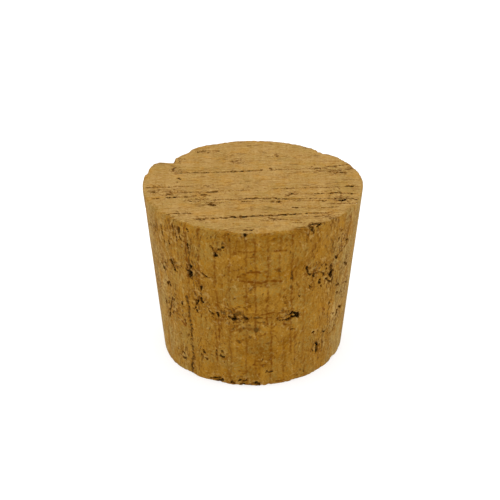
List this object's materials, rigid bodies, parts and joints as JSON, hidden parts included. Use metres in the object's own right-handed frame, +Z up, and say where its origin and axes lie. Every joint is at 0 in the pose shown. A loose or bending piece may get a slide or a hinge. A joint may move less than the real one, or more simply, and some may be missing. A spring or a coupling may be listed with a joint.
{
  "type": "cork stopper",
  "caption": "Tapered natural cork stopper cut in one piece, with open growth rings, pits and a broken rim.",
  "frame": {"origin": "centre of the small end's face, which the stopper stands on", "axes": "+Z up along the taper's axis, from the small end to the large end; -Y towards the side that the picture shows, so the growth rings run nearly along X"},
  "size_m": [0.0464, 0.0464, 0.038],
  "materials": {
    "cork": "matte natural cork, sawn and sanded, with dark open pits"
  },
  "bodies": {
    "root": {"stopper": "cork"}
  },
  "joints": []
}
